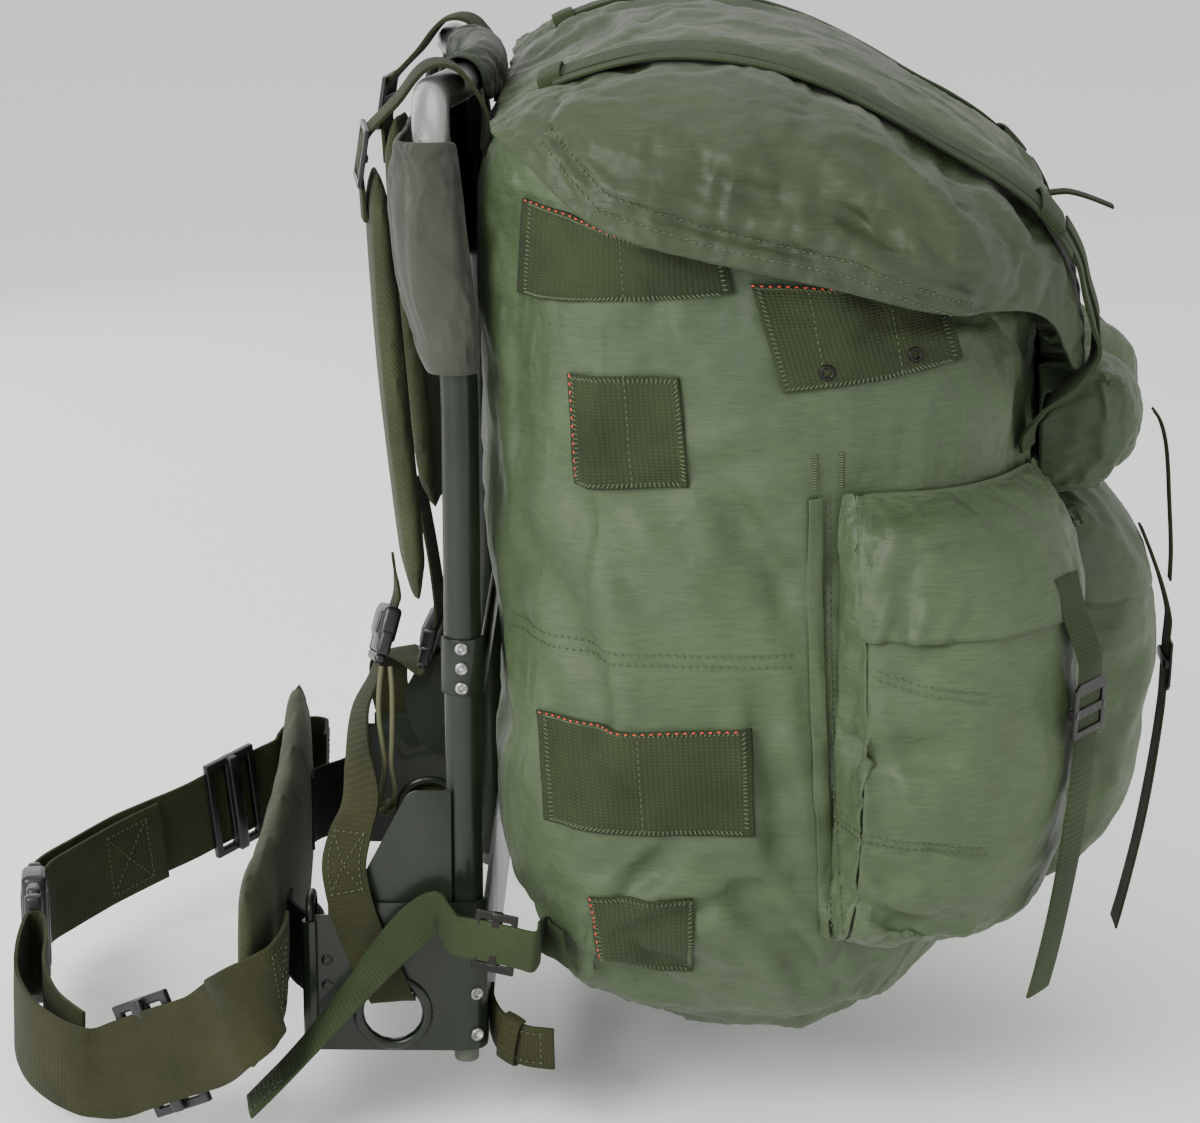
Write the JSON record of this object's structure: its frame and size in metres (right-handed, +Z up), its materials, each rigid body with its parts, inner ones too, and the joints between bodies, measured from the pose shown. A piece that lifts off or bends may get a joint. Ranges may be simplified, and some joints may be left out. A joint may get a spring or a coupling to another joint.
{
  "type": "external frame backpack",
  "caption": "Cloth backpack with lid and outer pockets on a bent tube frame, with padded shoulder straps, lumbar pad and buckled waist belt.",
  "frame": {"origin": "middle of the top bar of the frame, on the tube's axis, where the pack hangs", "axes": "+Z up; +X from the wearer's back towards the outer pockets; +Y to the wearer's right"},
  "size_m": [0.6483, 0.489, 0.5607],
  "materials": {
    "frame_paint": "worn semi-gloss dark green paint",
    "foot_plastic": "moulded",
    "dark_metal": "dark coating worn bright at the edges",
    "black_plastic": "moulded, slightly glossy",
    "bag_nylon": "coated pack nylon, creased",
    "lid_nylon": "coated pack nylon, creased",
    "envelope_cloth": "napped grey cloth, worn",
    "pad_cloth": "twill cloth over foam",
    "black_webbing": "woven",
    "olive_webbing": "flat woven webbing",
    "cord_braid": "braided",
    "dark_webbing": "ribbed woven webbing"
  },
  "bodies": {
    "root": {"frame_tube": "frame_paint", "upper_crossbar": "frame_paint", "lumbar_band": "frame_paint", "gusset_left": "frame_paint", "gusset_right": "frame_paint", "foot_left": "foot_plastic", "foot_right": "foot_plastic", "bail_left": "dark_metal", "bail_right": "dark_metal", "pocket_buckle_left": "dark_metal", "pocket_buckle_middle": "dark_metal", "pocket_buckle_right": "dark_metal", "compression_buckle": "dark_metal", "belt_slider_left": "black_plastic", "belt_slider_right": "black_plastic", "belt_buckle_plug": "black_plastic", "belt_buckle_socket": "black_plastic", "release_buckle_left": "black_plastic", "release_buckle_right": "black_plastic", "bag_body": "bag_nylon", "pocket_left": "bag_nylon", "pocket_middle": "bag_nylon", "pocket_right": "bag_nylon", "small_pocket_left": "bag_nylon", "small_pocket_middle": "bag_nylon", "small_pocket_right": "bag_nylon", "pocket_flap_left": "bag_nylon", "pocket_flap_middle": "bag_nylon", "pocket_flap_right": "bag_nylon", "envelope_top": "bag_nylon", "lid": "lid_nylon", "frame_envelope": "envelope_cloth", "lumbar_pad": "pad_cloth", "shoulder_strap_left": "pad_cloth", "shoulder_strap_right": "pad_cloth", "pad_link_left": "black_webbing", "pad_link_right": "black_webbing", "belt_left": "olive_webbing", "belt_right": "olive_webbing", "top_strap_left": "olive_webbing", "top_strap_right": "olive_webbing", "lower_strap_left": "olive_webbing", "lower_strap_right": "olive_webbing", "stub_strap": "olive_webbing", "pull_tab": "olive_webbing", "release_cord_front": "cord_braid", "release_cord_rear": "cord_braid", "lid_strap_left": "dark_webbing", "lid_strap_right": "dark_webbing", "pocket_strap_left": "dark_webbing", "pocket_strap_middle": "dark_webbing", "pocket_strap_right": "dark_webbing", "compression_strap": "dark_webbing", "patch_top_front": "dark_webbing", "patch_top_rear": "dark_webbing", "patch_middle": "dark_webbing", "patch_wide": "dark_webbing", "patch_low": "dark_webbing", "tie_strap": "dark_webbing"}
  },
  "joints": []
}
